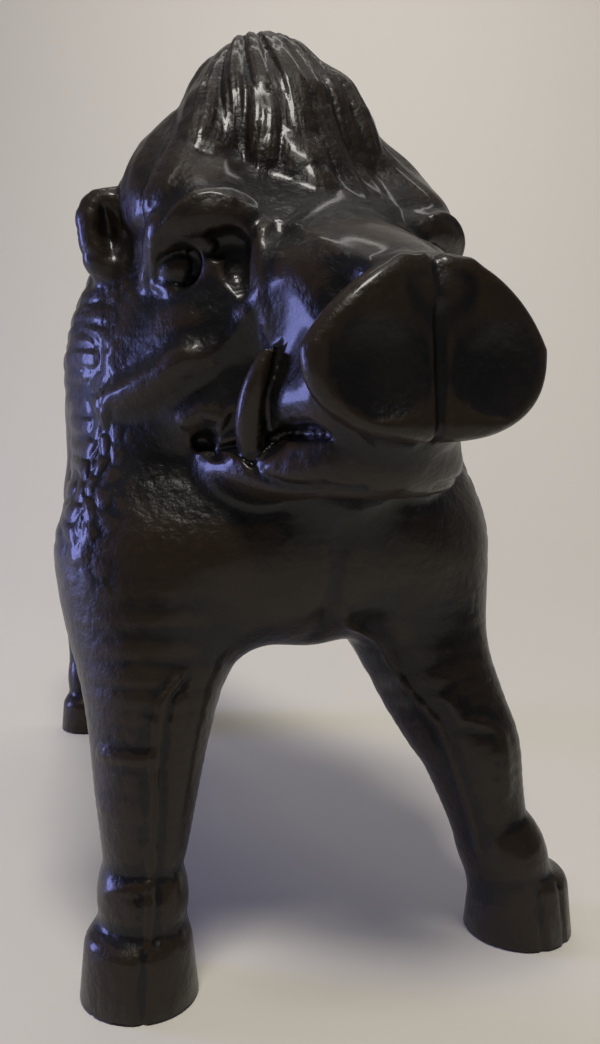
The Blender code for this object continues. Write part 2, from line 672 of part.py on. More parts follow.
def cut_soles(item):
    """Cut the hooves flat at the floor."""
    bm = bmesh.new()
    bm.from_mesh(item.data)
    whole = bm.verts[:] + bm.edges[:] + bm.faces[:]
    bmesh.ops.bisect_plane(bm, geom=whole, plane_co=(0, 0, 0), plane_no=(0, 0, 1), clear_inner=True)
    rims = [e for e in bm.edges if e.is_boundary]
    made = bmesh.ops.edgeloop_fill(bm, edges=rims)
    bmesh.ops.triangulate(bm, faces=made["faces"])
    bmesh.ops.recalc_face_normals(bm, faces=bm.faces[:])
    bm.to_mesh(item.data)
    bm.free()


def centre(item):
    """Put the middle of the figure's box over the origin."""
    points = get_points(item.data)
    middle = (points.min(axis=0) + points.max(axis=0)) / 2.0
    points -= (middle[0], middle[1], 0.0)
    set_points(item.data, points)


def iron():
    material = bpy.data.materials.new("painted_iron")
    material.use_nodes = True
    shader = material.node_tree.nodes["Principled BSDF"]
    shader.inputs["Base Color"].default_value = COLOUR
    shader.inputs["Roughness"].default_value = ROUGHNESS
    shader.inputs["Metallic"].default_value = METALLIC
    return material


def main():
    clear_scene()
    item = make_boar()
    thin_out(item)
    cut_soles(item)
    centre(item)
    item.data.materials.append(iron())
    item.data.shade_smooth()
    return item


main()
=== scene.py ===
"""Cast iron boar figure: its fine skin, black painted finish, floor, light and camera.

The form repeats the CAD part's: masses given as shares of the height and blended into one
smooth distance. The points of a fine mesh are drawn onto that skin. Then hair, fur, mould seams
and edges are raised or sunk along the skin's own direction.
"""

import math

import bmesh
import bpy
import numpy as np
from mathutils import Euler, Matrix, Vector

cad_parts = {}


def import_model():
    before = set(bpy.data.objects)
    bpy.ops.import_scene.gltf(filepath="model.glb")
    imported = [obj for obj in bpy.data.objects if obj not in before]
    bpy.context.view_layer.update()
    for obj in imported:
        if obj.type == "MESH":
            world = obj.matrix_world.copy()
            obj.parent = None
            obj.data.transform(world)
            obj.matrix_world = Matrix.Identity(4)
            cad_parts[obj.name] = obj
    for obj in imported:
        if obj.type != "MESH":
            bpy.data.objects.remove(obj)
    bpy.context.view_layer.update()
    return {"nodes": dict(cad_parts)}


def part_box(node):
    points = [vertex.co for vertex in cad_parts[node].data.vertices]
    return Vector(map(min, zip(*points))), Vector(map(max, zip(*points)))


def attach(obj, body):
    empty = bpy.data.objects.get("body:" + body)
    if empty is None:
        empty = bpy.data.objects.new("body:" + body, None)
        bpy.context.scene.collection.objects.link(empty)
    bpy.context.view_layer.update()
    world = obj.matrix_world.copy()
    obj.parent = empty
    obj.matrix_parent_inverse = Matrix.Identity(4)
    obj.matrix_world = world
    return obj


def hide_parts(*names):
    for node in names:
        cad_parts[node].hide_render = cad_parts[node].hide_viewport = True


# Driving sizes in metres
HEIGHT = 0.210            # soles to the top of the crest
VOXEL = 0.0009
TRIANGLES = 196000        # of the finished skin
HOOF_HEIGHT = 0.0152      # sole to the coronet of a front hoof
HOOF_SOLE_RADIUS = 0.0124
HIND_HOOF_HEIGHT = 0.0125
HIND_HOOF_SOLE_RADIUS = 0.0092
MOUTH_WIDTH = 0.0016      # groove between the lips
MOUTH_DEPTH = 0.0017
SNOUT_GROOVE_WIDTH = 0.0014
SNOUT_GROOVE_DEPTH = 0.0009

MIDDLE = (0.00807, 0.40359, 0.0)    # where the frame's origin lies in the form, in shares of the height


def share(*values):
    """A place or size given as shares of the height."""
    return np.array(values, dtype=float) * HEIGHT


NEAR = 0.03               # how far round a mass its skin is worked out, in shares of the height
BURIED = 0.35             # how far the hooves run below the floor
CURVE_STEPS = 4           # parts of each stretch of a smooth curve


# Blending of distances

def blend_min(a, b, soft):
    """Union of two skins with a fillet."""
    near = np.maximum(soft - np.abs(a - b), 0.0) / soft
    return np.minimum(a, b) - near * near * soft * 0.25


def blend_max(a, b, soft):
    return -blend_min(-a, -b, soft)


def smoothstep(low, high, value):
    t = np.clip((value - low) / (high - low), 0.0, 1.0)
    return t * t * (3.0 - 2.0 * t)


def merge(found, points, mass, soft, cut=False):
    """Add a mass to the skin, or cut it away, where it is near enough to matter."""
    close = ((points - mass.centre) ** 2).sum(axis=1) < (mass.bound + NEAR * HEIGHT + soft) ** 2
    if not close.any():
        return
    one = mass.distance(points[close])
    if cut:
        found[close] = blend_max(found[close], -one, soft)
    else:
        found[close] = blend_min(found[close], one, soft)


# Masses

class Ball:
    """An ellipsoid, turned by degrees about X, Y and Z."""

    def __init__(self, centre, radii, turn=(0, 0, 0)):
        self.centre = share(*centre)
        self.radii = share(*radii)
        self.rows = np.array(Euler([math.radians(t) for t in turn]).to_matrix())
        self.bound = self.radii.max()

    def distance(self, points):
        local = (points - self.centre) @ self.rows
        k0 = np.linalg.norm(local / self.radii, axis=1) + 1e-9
        k1 = np.linalg.norm(local / self.radii ** 2, axis=1) + 1e-9
        return k0 * (k0 - 1.0) / k1


def smooth_path(stations):
    """More stations on a smooth curve through those given."""
    known = np.array(stations, dtype=float)
    known = np.vstack([2 * known[0] - known[1], known, 2 * known[-1] - known[-2]])
    made = []
    for a, b, c, d in zip(known, known[1:], known[2:], known[3:]):
        for t in np.arange(CURVE_STEPS) / CURVE_STEPS:
            made.append(0.5 * (2 * b + (c - a) * t + (2 * a - 5 * b + 4 * c - d) * t ** 2
                               + (3 * b - a - 3 * c + d) * t ** 3))
    return made + [known[-2]]


class Chain:
    """Round stations (x, y, z, radius) joined by cones, such as a leg or a lock of hair.

    With no softness the stations are joined along a smooth curve instead of filleted."""

    def __init__(self, stations, soft=0.03, flat=(1, 1, 1)):
        if not soft:
            stations = smooth_path(stations)
        self.stations = [share(*s) for s in stations]
        self.soft = soft * HEIGHT
        self.flat = np.array(flat, dtype=float)
        places = np.array([s[:3] for s in self.stations])
        self.centre = (places.min(axis=0) + places.max(axis=0)) / 2.0
        reach = np.linalg.norm(places - self.centre, axis=1).max()
        self.bound = reach + max(s[3] for s in self.stations) * self.flat.max()

    def distance(self, points):
        found = None
        for a, b in zip(self.stations, self.stations[1:]):
            start, end = a[:3] / self.flat, b[:3] / self.flat
            way = end - start
            local = points / self.flat - start
            t = np.clip(local @ way / (way @ way), 0.0, 1.0)
            gap = np.linalg.norm(local - t[:, None] * way, axis=1)
            one = (gap - (a[3] + (b[3] - a[3]) * t)) * self.flat.min()
            if found is None:
                found = one
            elif self.soft:
                found = blend_min(found, one, self.soft)
            else:
                found = np.minimum(found, one)
        return found


class Trunk:
    """Oval sections along Y: (y, top, bottom, half width)."""

    def __init__(self, sections, end):
        self.table = np.array([share(*s) for s in sections])
        self.end = end * HEIGHT
        low = np.array([0.0, self.table[0, 0] - self.end, self.table[:, 2].min()])
        high = np.array([self.table[:, 3].max(), self.table[-1, 0] + self.end, self.table[:, 1].max()])
        self.centre = (low + high) / 2.0
        self.bound = np.linalg.norm(high - low) / 2.0

    def distance(self, points):
        ys, top, bottom, half = self.table.T
        y = points[:, 1]
        inside = np.clip(y, ys[0], ys[-1])
        middle, tall, wide = [np.interp(inside, ys, row)
                              for row in ((top + bottom) / 2, (top - bottom) / 2, half)]
        local = np.stack([points[:, 0] / wide, (y - inside) / self.end,
                          (points[:, 2] - middle) / tall], axis=1)
        return (np.linalg.norm(local, axis=1) - 1.0) * np.minimum(tall, wide)


class Hoof:
    """A short cone with a rounded coronet; its place is (x, y) of the sole's middle."""

    def __init__(self, place, height, sole, top_share=0.88, long_share=1.04):
        self.place = share(*place)
        self.height = height
        self.sole = sole
        self.top = sole * top_share
        self.long_share = long_share
        self.centre = np.array([*self.place, height / 2])
        self.bound = sole + height

    def distance(self, points):
        rise = np.clip(points[:, 2] / self.height, -BURIED, 1.2)
        radius = self.sole + (self.top - self.sole) * rise
        x = points[:, 0] - self.place[0]
        y = points[:, 1] - self.place[1]
        out = np.hypot(x, y / self.long_share) - radius
        return blend_max(out, points[:, 2] - self.height, 0.25 * self.height)


class Disc:
    """The flat egg-shaped front of the snout, a short plug along Y with a rounded rim."""

    def __init__(self, centre, wide, tall, thick, rim, tilt):
        self.centre = share(*centre)
        self.wide, self.tall, self.thick, self.rim = share(wide, tall, thick, rim)
        self.tilt = math.radians(tilt)
        self.bound = self.wide + self.thick

    def distance(self, points):
        c, s = math.cos(self.tilt), math.sin(self.tilt)
        x, y, z = (points - self.centre).T
        y, z = y * c + z * s, z * c - y * s
        wide = self.wide * (1.0 - SNOUT_PEAK * np.clip(z / self.tall, 0.0, 1.0))
        power = SNOUT_SQUARE
        k = (np.abs(x / wide) ** power + np.abs(z / self.tall) ** power) ** (1.0 / power) + 1e-6
        out = np.hypot(x, z) * (1.0 - 1.0 / k)
        split = groove(np.abs(x), SNOUT_GROOVE_WIDTH, SNOUT_GROOVE_DEPTH)
        swell = SNOUT_LOBE * HEIGHT * (1.0 - (2.0 * np.abs(x) / self.wide - 0.9) ** 2)
        front = -y - self.thick - np.maximum(swell, -0.5 * SNOUT_LOBE * HEIGHT)
        return blend_max(blend_max(out + split, front + split, self.rim), y - self.thick, self.rim)


def groove(distance, width, depth):
    """Depth of a round groove at a distance from its line."""
    return depth * np.exp(-1.4 * (distance / width) ** 2)


def sheet_distance(points, path, through):
    """Distance to a sheet that runs through a path along one direction."""
    way = np.array(through, dtype=float)
    way /= np.linalg.norm(way)
    flat = points - (points @ way)[:, None] * way
    best = np.full(len(points), np.inf)
    places = [share(*p) for p in path]
    level = np.mean([p @ way for p in places])
    places = [p - (p @ way) * way for p in places]
    for a, b in zip(places, places[1:]):
        step = b - a
        t = np.clip((flat - a) @ step / (step @ step), 0.0, 1.0)
        best = np.minimum(best, np.linalg.norm(flat - a - t[:, None] * step, axis=1))
    return np.hypot(best, np.maximum(np.abs(points @ way - level) - SHEET_REACH * HEIGHT, 0.0))


# The form, in shares of the height. Each mass is (mass, fillet, both sides).

SNOUT_PEAK = 0.42         # how much the disc narrows to its top
SNOUT_SQUARE = 2.4
SNOUT_LOBE = 0.010        # swell of each lobe
SHEET_REACH = 0.060       # how far a groove's sheet reaches each way from its path
SIDE_VIEW = (0.366, -0.930, 0.042)    # from the mouth's side towards a viewer in front

BODY = Trunk([(0.14, 0.84, 0.37, 0.180),
              (0.22, 0.86, 0.36, 0.198),
              (0.34, 0.83, 0.355, 0.184),
              (0.48, 0.790, 0.352, 0.154),
              (0.60, 0.765, 0.372, 0.124),
              (0.72, 0.740, 0.420, 0.102),
              (0.84, 0.690, 0.450, 0.078)], end=0.10)
MUZZLE = Trunk([(-0.125, 0.690, 0.545, 0.076),
                (-0.075, 0.715, 0.530, 0.084),
                (0.000, 0.755, 0.515, 0.092),
                (0.070, 0.790, 0.505, 0.118)], end=0.03)

MASSES = [
    # crest, skull and the sides of the forehead
    (Chain([(0, 0.120, 0.790, 0.045), (0.006, 0.165, 0.826, 0.064), (0.010, 0.222, 0.891, 0.084),
            (0, 0.340, 0.806, 0.060), (0, 0.500, 0.762, 0.048), (0, 0.700, 0.716, 0.040)]), 0.04, False),
    (Ball((0.002, 0.178, 0.822), (0.144, 0.086, 0.110)), 0.04, False),
    (Ball((0, 0.185, 0.770), (0.150, 0.120, 0.110)), 0.04, False),
    (Ball((0.108, 0.140, 0.784), (0.064, 0.080, 0.070), (20, 0, 0)), 0.03, True),
    (Ball((0.120, 0.088, 0.776), (0.044, 0.050, 0.038)), 0.03, True),
    (MUZZLE, 0.05, False),
    (Ball((0, 0.090, 0.700), (0.140, 0.100, 0.100)), 0.05, False),
    # jaw, jowls and throat
    (Chain([(0, -0.072, 0.553, 0.050), (0, 0.020, 0.570, 0.072), (0, 0.120, 0.570, 0.100)],
           flat=(1.22, 1, 1)), 0.03, False),
    (Ball((0.104, 0.135, 0.600), (0.080, 0.102, 0.106)), 0.05, True),
    (Ball((0.132, 0.225, 0.600), (0.082, 0.105, 0.150)), 0.05, True),
    # chest and shoulders
    (Ball((0, 0.095, 0.450), (0.122, 0.100, 0.122)), 0.05, False),
    (Ball((0.088, 0.072, 0.436), (0.078, 0.070, 0.092)), 0.04, True),
    (Ball((0.156, 0.165, 0.430), (0.082, 0.105, 0.145)), 0.05, True),
    # rump and thighs
    (Ball((0.034, 0.790, 0.570), (0.058, 0.130, 0.140)), 0.05, True),
    (Ball((0.056, 0.745, 0.460), (0.048, 0.105, 0.130), (14, 0, 0)), 0.04, True),
]

LEG_DEPTH = 1.2           # legs are deeper along the body than they are wide
RIGHT_FRONT_LEG = [(-0.160, 0.140, 0.420, 0.082), (-0.170, 0.105, 0.320, 0.071),
                   (-0.179, 0.088, 0.255, 0.059), (-0.186, 0.076, 0.205, 0.051),
                   (-0.190, 0.070, 0.160, 0.0440), (-0.193, 0.068, 0.128, 0.0395),
                   (-0.195, 0.064, 0.100, 0.0450), (-0.197, 0.060, 0.072, 0.0410)]
LEFT_FRONT_LEG = [(0.150, 0.135, 0.420, 0.078), (0.146, 0.085, 0.310, 0.068),
                  (0.162, 0.055, 0.245, 0.060), (0.173, 0.035, 0.210, 0.054),
                  (0.182, 0.022, 0.160, 0.045), (0.188, 0.012, 0.125, 0.041),
                  (0.199, 0.004, 0.096, 0.046), (0.207, 0.000, 0.070, 0.043)]
HIND_LEG = [(0.060, 0.720, 0.430, 0.056), (0.060, 0.745, 0.350, 0.046),
            (0.058, 0.820, 0.275, 0.036), (0.058, 0.900, 0.222, 0.030),
            (0.060, 0.915, 0.190, 0.028), (0.061, 0.912, 0.130, 0.024),
            (0.062, 0.905, 0.092, 0.028), (0.062, 0.898, 0.064, 0.027)]

FACE = [
    # flat bridge of the nose
    (Ball((0, -0.045, 0.722), (0.062, 0.125, 0.030), (22, 0, 0)), 0.012, False),
    # brow over the eye
    (Chain([(0.082, 0.034, 0.750, 0.012), (0.104, 0.034, 0.762, 0.018), (0.128, 0.042, 0.764, 0.019),
            (0.147, 0.058, 0.757, 0.019), (0.157, 0.082, 0.742, 0.017), (0.160, 0.108, 0.714, 0.013)],
           0), 0.014, True),
    # side of the snout under the bridge, with the ridge in front of the eye's hollow
    (Ball((0.062, -0.015, 0.685), (0.036, 0.080, 0.048), (0, 0, -6)), 0.02, True),
    (Chain([(0.078, 0.018, 0.742, 0.009), (0.084, 0.002, 0.716, 0.011), (0.088, -0.010, 0.690, 0.011),
            (0.100, 0.000, 0.672, 0.008)], 0), 0.012, True),
    # upper lip beside the tusk and cheek fold behind the mouth
    (Chain([(0.052, -0.080, 0.592, 0.032), (0.066, -0.015, 0.590, 0.032)]), 0.02, True),
    (Chain([(0.092, 0.050, 0.592, 0.032), (0.108, 0.080, 0.600, 0.036)]), 0.03, True),
    (Chain([(0.092, 0.034, 0.655, 0.024), (0.120, 0.072, 0.650, 0.030),
            (0.150, 0.142, 0.626, 0.038)]), 0.03, True),
    # ridge of fur across the cheek
    (Chain([(0.122, 0.036, 0.640, 0.012), (0.134, 0.040, 0.632, 0.016), (0.147, 0.048, 0.627, 0.019),
            (0.160, 0.068, 0.613, 0.020), (0.176, 0.100, 0.598, 0.022), (0.190, 0.134, 0.586, 0.022)], 0),
     0.012, True),
    # lower lip
    (Chain([(0.000, -0.094, 0.536, 0.027), (0.050, -0.074, 0.533, 0.028), (0.084, -0.020, 0.526, 0.028),
            (0.104, 0.030, 0.528, 0.027), (0.106, 0.060, 0.535, 0.022)], 0), 0.02, True),
]
EYE_FRONT_HOLLOW = Chain([(0.120, 0.030, 0.734, 0.0140), (0.108, 0.022, 0.734, 0.0150),
                          (0.108, 0.018, 0.714, 0.0140), (0.106, 0.006, 0.692, 0.0070)], 0)
SNOUT_HOLLOW = Ball((0.114, -0.066, 0.652), (0.026, 0.036, 0.044))
EYE_SOCKET = Ball((0.144, 0.060, 0.716), (0.024, 0.016, 0.024))
EYE = Ball((0.141, 0.082, 0.718), (0.021, 0.021, 0.022))
UPPER_LID = Chain([(0.163, 0.092, 0.724, 0.006), (0.159, 0.070, 0.738, 0.009), (0.147, 0.060, 0.744, 0.010),
                   (0.133, 0.052, 0.742, 0.009), (0.123, 0.044, 0.736, 0.006)], 0)
LOWER_LID = Chain([(0.160, 0.092, 0.704, 0.004), (0.150, 0.071, 0.695, 0.006),
                   (0.137, 0.058, 0.694, 0.006), (0.126, 0.048, 0.702, 0.006),
                   (0.122, 0.040, 0.716, 0.005)], 0)
EAR = Chain([(0.145, 0.190, 0.740, 0.034), (0.172, 0.184, 0.752, 0.029),
             (0.186, 0.182, 0.774, 0.022)], flat=(1, 0.7, 1.2))
EAR_HOLLOW = Ball((0.188, 0.156, 0.764), (0.015, 0.024, 0.030), (0, 10, 0))
TUSK = Chain([(0.100, -0.006, 0.545, 0.0150), (0.106, -0.014, 0.568, 0.0155),
              (0.108, -0.024, 0.594, 0.0130), (0.104, -0.032, 0.618, 0.0095),
              (0.097, -0.036, 0.640, 0.0040)], 0)
SNOUT = Disc((0, -0.148, 0.634), wide=0.119, tall=0.079, thick=0.014, rim=0.016, tilt=-5)
NOSTRIL = Ball((0.062, -0.176, 0.614), (0.034, 0.010, 0.030))
TAIL = Chain([(0.012, 0.945, 0.640, 0.016), (0.024, 0.966, 0.560, 0.014),
              (0.034, 0.962, 0.470, 0.014), (0.036, 0.950, 0.400, 0.008)], 0.02)

CREST_Y = 0.250           # the strands of the mane fan out round this place

# Broad locks of the forelock: (x, y, z, half width), and how proud a lock stands for its width
FORELOCK = [
    [(-0.012, 0.195, 0.975, 0.030), (-0.020, 0.135, 0.925, 0.040), (-0.028, 0.095, 0.875, 0.040),
     (-0.022, 0.066, 0.835, 0.030), (-0.008, 0.044, 0.795, 0.010)],
    [(0.036, 0.180, 0.965, 0.016), (0.056, 0.130, 0.920, 0.020), (0.070, 0.098, 0.878, 0.016),
     (0.066, 0.076, 0.845, 0.005)],
    [(-0.074, 0.150, 0.930, 0.018), (-0.090, 0.120, 0.890, 0.018), (-0.104, 0.098, 0.858, 0.012),
     (-0.108, 0.086, 0.836, 0.004)],
]
LOCK_FILLET = 0.006
FORELOCK_PROUD = 0.24

MOUTH = [(0.128, 0.050, 0.552), (0.120, 0.040, 0.541), (0.108, 0.020, 0.546), (0.098, 0.002, 0.535),
         (0.080, -0.030, 0.560), (0.060, -0.060, 0.562), (0.030, -0.090, 0.560), (0.000, -0.105, 0.560)]
MOUTH_CORNER = Ball((0.134, 0.036, 0.551), (0.0105, 0.022, 0.0105))
LIP_GAP = Chain([(0.120, 0.008, 0.560, 0.0055), (0.118, -0.002, 0.574, 0.0045),
                 (0.115, -0.012, 0.594, 0.002)], 0)

LEG_FILLET = 0.055
LEG_JOINT = 0             # the stations of a leg lie on a smooth curve
LEGS = [
    (Chain(RIGHT_FRONT_LEG, LEG_JOINT, flat=(1, LEG_DEPTH, 1)), LEG_FILLET, False),
    (Chain(LEFT_FRONT_LEG, LEG_JOINT, flat=(1, LEG_DEPTH, 1)), LEG_FILLET, False),
    (Chain(HIND_LEG, LEG_JOINT, flat=(1, LEG_DEPTH, 1)), LEG_FILLET, True),
]
HOOF_FILLET = 0.012
HOOVES = [
    (Hoof((-0.2030, 0.054), HOOF_HEIGHT, HOOF_SOLE_RADIUS), HOOF_FILLET, False),
    (Hoof((0.2190, -0.003), HOOF_HEIGHT, HOOF_SOLE_RADIUS), HOOF_FILLET, False),
    (Hoof((0.0620, 0.893), HIND_HOOF_HEIGHT, HIND_HOOF_SOLE_RADIUS), HOOF_FILLET, True),
]
# What is set on the face or cut into it, in order: (mass, fillet, cut away), on both sides
DETAILS = [
    (EYE_FRONT_HOLLOW, 0.006, True),
    (SNOUT_HOLLOW, 0.020, True),
    (EYE_SOCKET, 0.006, True),
    (EYE, 0.003, False),
    (UPPER_LID, 0.004, False),
    (LOWER_LID, 0.008, False),
    (EAR, 0.012, False),
    (EAR_HOLLOW, 0.010, True),
    (SNOUT, 0.016, False),
    (NOSTRIL, 0.022, True),
    (MOUTH_CORNER, 0.005, True),
    (LIP_GAP, 0.004, True),
    (TUSK, 0.006, False),
]
TAIL_FILLET = 0.010


def mirror_points(points):
    folded = points.copy()
    folded[:, 0] = np.abs(folded[:, 0])
    return folded


def smooth_skin(points):
    """Blended distance to the figure without hair: negative inside, zero on the skin."""
    folded = mirror_points(points)
    found = BODY.distance(folded)
    for mass, soft, both in MASSES + LEGS + HOOVES + FACE:
        merge(found, folded if both else points, mass, soft * HEIGHT)
    found += groove(sheet_distance(folded, MOUTH, SIDE_VIEW), MOUTH_WIDTH, MOUTH_DEPTH)
    for mass, soft, cut in DETAILS:
        merge(found, folded, mass, soft * HEIGHT, cut)
    merge(found, points, TAIL, TAIL_FILLET * HEIGHT)
    return found


def skin(points):
    """The smooth skin with the forelock laid on it."""
    found = smooth_skin(points)
    for lock in forelock():
        merge(found, points, lock, LOCK_FILLET * HEIGHT)
    return found


def slope(points, step, field):
    """A skin's distance and its gradient, by a small step each way."""
    here = field(points)
    rows = [field(points + step * axis) - here for axis in np.eye(3)]
    return here, np.stack(rows, axis=1) / step


def settle(points, rounds, reach, field=skin):
    """Draw points onto the skin."""
    lean = None
    for _ in range(rounds):
        here, lean = slope(points, 0.1 * VOXEL, field)
        move = here / np.maximum((lean ** 2).sum(axis=1), 0.05)
        points = points - np.clip(move, -reach, reach)[:, None] * lean
    return points, lean / np.maximum(np.linalg.norm(lean, axis=1), 1e-6)[:, None]


# Hair

def scatter(cells, seed):
    """A repeatable number from 0 to 1 for each whole-numbered cell."""
    value = np.sin(cells * 12.9898 + seed * 78.233) * 43758.5453
    return value - np.floor(value)


LAID = {}


def forelock():
    """Broad flat locks over the forehead, each sunk so that only its crown shows."""
    if "forelock" in LAID:
        return LAID["forelock"]
    made = []
    for path in FORELOCK:
        path = np.array(path)
        half = path[:, 3]
        rise = FORELOCK_PROUD * half
        radius = (half ** 2 + rise ** 2) / (2 * rise)
        places, normal = settle(path[:, :3] * HEIGHT, 4, HEIGHT, smooth_skin)
        places = places / HEIGHT - normal * (radius - rise)[:, None]
        made.append(Chain(list(np.column_stack([places, radius])), soft=0.03))
    LAID["forelock"] = made
    return made


# Lines raised or sunk on the skin: (path in shares, half width and height in metres, both sides)

STROKES = [
    # mould seam down the front of the right leg
    ([(-0.1665, 0.0176, 0.327), (-0.184, 0.0195, 0.309), (-0.189, 0.0205, 0.284), (-0.194, 0.016, 0.248),
      (-0.197, 0.0146, 0.168), (-0.202, 0.010, 0.118), (-0.207, 0.004, 0.076)], 0.0010, 0.0008, False),
    ([(-0.1600, 0.0176, 0.327), (-0.176, 0.0195, 0.309), (-0.182, 0.0205, 0.284), (-0.187, 0.016, 0.248),
      (-0.190, 0.0146, 0.168), (-0.195, 0.010, 0.118), (-0.200, 0.004, 0.076)], 0.0009, -0.0007, False),
    # mould seam down the left leg and the middle of the chest
    ([(-0.0038, 0.0081, 0.3814), (0.0182, 0.0236, 0.3554), (0.0745, 0.050, 0.3091), (0.0945, 0.0329, 0.2797),
      (0.1161, 0.0081, 0.2483), (0.1289, -0.0027, 0.2077), (0.1433, -0.0076, 0.1623),
      (0.1553, -0.0166, 0.1071)], 0.0010, 0.0007, False),
    ([(-0.0041, -0.0067, 0.4642), (-0.0086, -0.0051, 0.4345), (-0.0121, 0.0029, 0.3933),
      (-0.0141, 0.0326, 0.3462)], 0.0030, -0.0006, False),
    # knee plate, its lower ledge and the fetlock of the right leg
    ([(-0.2348, 0.0647, 0.2501), (-0.2218, 0.0386, 0.2508), (-0.2059, 0.0254, 0.2507),
      (-0.1958, 0.0197, 0.253)], 0.0014, 0.0005, False),
    ([(-0.2343, 0.0600, 0.1948), (-0.2203, 0.0305, 0.1966), (-0.1996, 0.0173, 0.1951)],
     0.0020, 0.0003, False),
    ([(-0.2361, 0.0489, 0.1127), (-0.2200, 0.0267, 0.1226), (-0.2002, 0.0193, 0.1279)],
     0.0014, 0.0004, False),
    # line under the lower lip
    ([(0.1079, -0.0205, 0.5317), (0.1008, -0.0458, 0.5195), (0.0873, -0.0639, 0.515),
      (0.0668, -0.0885, 0.5162), (0.0391, -0.1017, 0.5127)], 0.0016, -0.0007, True),
    # split and flutes of the front hooves
    ([(-0.214, -0.002, 0.070), (-0.216, -0.004, 0.035), (-0.218, -0.006, 0.0)], 0.0007, -0.0007, False),
    ([(0.206, -0.050, 0.066), (0.208, -0.059, 0.035), (0.209, -0.062, 0.0)], 0.0008, -0.0006, False),
    ([(0.236, -0.052, 0.066), (0.239, -0.057, 0.035), (0.241, -0.060, 0.0)], 0.0008, -0.0006, False),
    # ledge under the left knee and the shin's edge
    ([(0.125, -0.0025, 0.272), (0.133, -0.012, 0.254), (0.1585, -0.023, 0.250)], 0.0016, 0.0007, False),
    ([(0.170, -0.028, 0.246), (0.178, -0.029, 0.236), (0.179, -0.034, 0.205), (0.180, -0.036, 0.172)],
     0.0016, 0.0006, False),
    # rim of the brow
    ([(0.161, 0.094, 0.719), (0.167, 0.067, 0.742), (0.160, 0.044, 0.761), (0.141, 0.035, 0.777),
      (0.126, 0.028, 0.782), (0.110, 0.019, 0.778)], 0.0013, 0.0006, True),
    # edge of the flat bridge and of the snout's side
    ([(0.090, 0.004, 0.735), (0.0845, 0.009, 0.745), (0.070, 0.016, 0.758), (0.056, -0.010, 0.750),
      (0.056, -0.050, 0.735), (0.056, -0.085, 0.719), (0.042, -0.121, 0.705), (0.0325, -0.155, 0.702)],
     0.0020, 0.0004, True),
    ([(0.0845, 0.009, 0.745), (0.097, -0.020, 0.698), (0.0945, -0.023, 0.654)], 0.0018, 0.0003, True),
    # edges of the upper and lower lip round the tusk
    ([(0.114, -0.010, 0.605), (0.122, 0.004, 0.585), (0.127, 0.022, 0.562)], 0.0009, 0.0006, True),
    ([(0.134, 0.044, 0.538), (0.120, 0.036, 0.543), (0.120, -0.012, 0.539), (0.108, -0.023, 0.530),
      (0.092, -0.028, 0.544), (0.084, -0.040, 0.556)], 0.0010, 0.0005, True),
    # bulge over the mouth's corner
    ([(0.148, 0.046, 0.572), (0.138, 0.032, 0.579), (0.128, 0.022, 0.577)], 0.0026, 0.0012, True),
    # ridge across the cheek
    ([(0.2015, 0.121, 0.589), (0.186, 0.088, 0.601), (0.168, 0.056, 0.615), (0.152, 0.035, 0.630),
      (0.135, 0.022, 0.630), (0.114, 0.004, 0.655)], 0.0030, 0.0006, True),
]


class Stroke:
    """A round ridge or groove that follows the skin and fades at its ends."""

    def __init__(self, path, width, height):
        path = np.array(path) * HEIGHT
        fine = np.linspace(0, len(path) - 1, 6 * (len(path) - 1) + 1)
        places = np.column_stack([np.interp(fine, range(len(path)), row) for row in path.T])
        self.places, _ = settle(places, 3, 0.02 * HEIGHT, smooth_skin)
        self.width = width
        self.height = height
        self.low = self.places.min(axis=0) - 3 * width
        self.high = self.places.max(axis=0) + 3 * width

    def add(self, found, points):
        close = ((points > self.low) & (points < self.high)).all(axis=1)
        local = points[close]
        best = np.full(len(local), np.inf)
        for a, b in zip(self.places, self.places[1:]):
            way = b - a
            t = np.clip((local - a) @ way / (way @ way), 0.0, 1.0)
            best = np.minimum(best, np.linalg.norm(local - a - t[:, None] * way, axis=1))
        found[close] += groove(best, self.width, self.height)


MANE_R = 0.120            # radius at which the locks have their stated width
MANE_WIDTH = 0.0064       # carved locks of the mane, in metres
MANE_LENGTH = 0.044
MANE_RISE = 0.0006        # how far the hair stands over the forehead at its edge
MANE_DEPTH = 0.0011
STRANDS = 4               # strands within a lock
STRAND_DEPTH = 0.00010
HAIR_LINE = [(0.0, 0.785), (0.035, 0.792), (0.086, 0.812), (0.120, 0.812), (0.150, 0.800), (0.166, 0.765),
             (0.176, 0.68), (0.200, 0.60)]
BACK_LINE = [(0.20, 0.0), (0.30, -0.045), (0.50, -0.085), (0.75, -0.085)]    # (y, lower by)
TUFT_WIDTH = 0.0030
TUFT_LENGTH = 0.0050
TUFT_DEPTH = 0.0005
SIDE_LEAN = 0.5           # how far the strands behind the crest lean outwards
LENGTH_LEAN = 0.4
WAVE_DEPTH = 0.004        # gentle waves in the strands, in shares
WAVE_UP = 30.0
WAVE_ACROSS = 12.0
LANE_SWAY = 0.3           # uneven width of the locks, in lock widths
LANE_TURNS = 1.7
LOCK_BEND = 0.25          # each lock's own curve, in lock widths
LOCK_TURNS = 2.1
LOCK_POINT = 0.55         # how much narrower a lock is at its end
LOCK_ROUND = 0.7
LOCK_LOW = 0.30           # height of a lock at its ends
LOCK_START = 0.25
LOCK_END = 0.60
EDGE_UNEVEN = 0.020       # how far the hair's edge goes up and down, in shares
EDGE_POINT = 0.022
LOW_MANE = 0.6            # the mane flattens towards the neck by this share, between these heights
LOW_MANE_SPAN = (0.80, 0.72)
PARTING = 0.37            # how far the locks start from the middle, in lock widths
LANES_ALIKE = 3           # neighbouring locks that bend together
HAIR_EDGE = (-0.020, 0.030)     # over the hair line, from skin to full hair
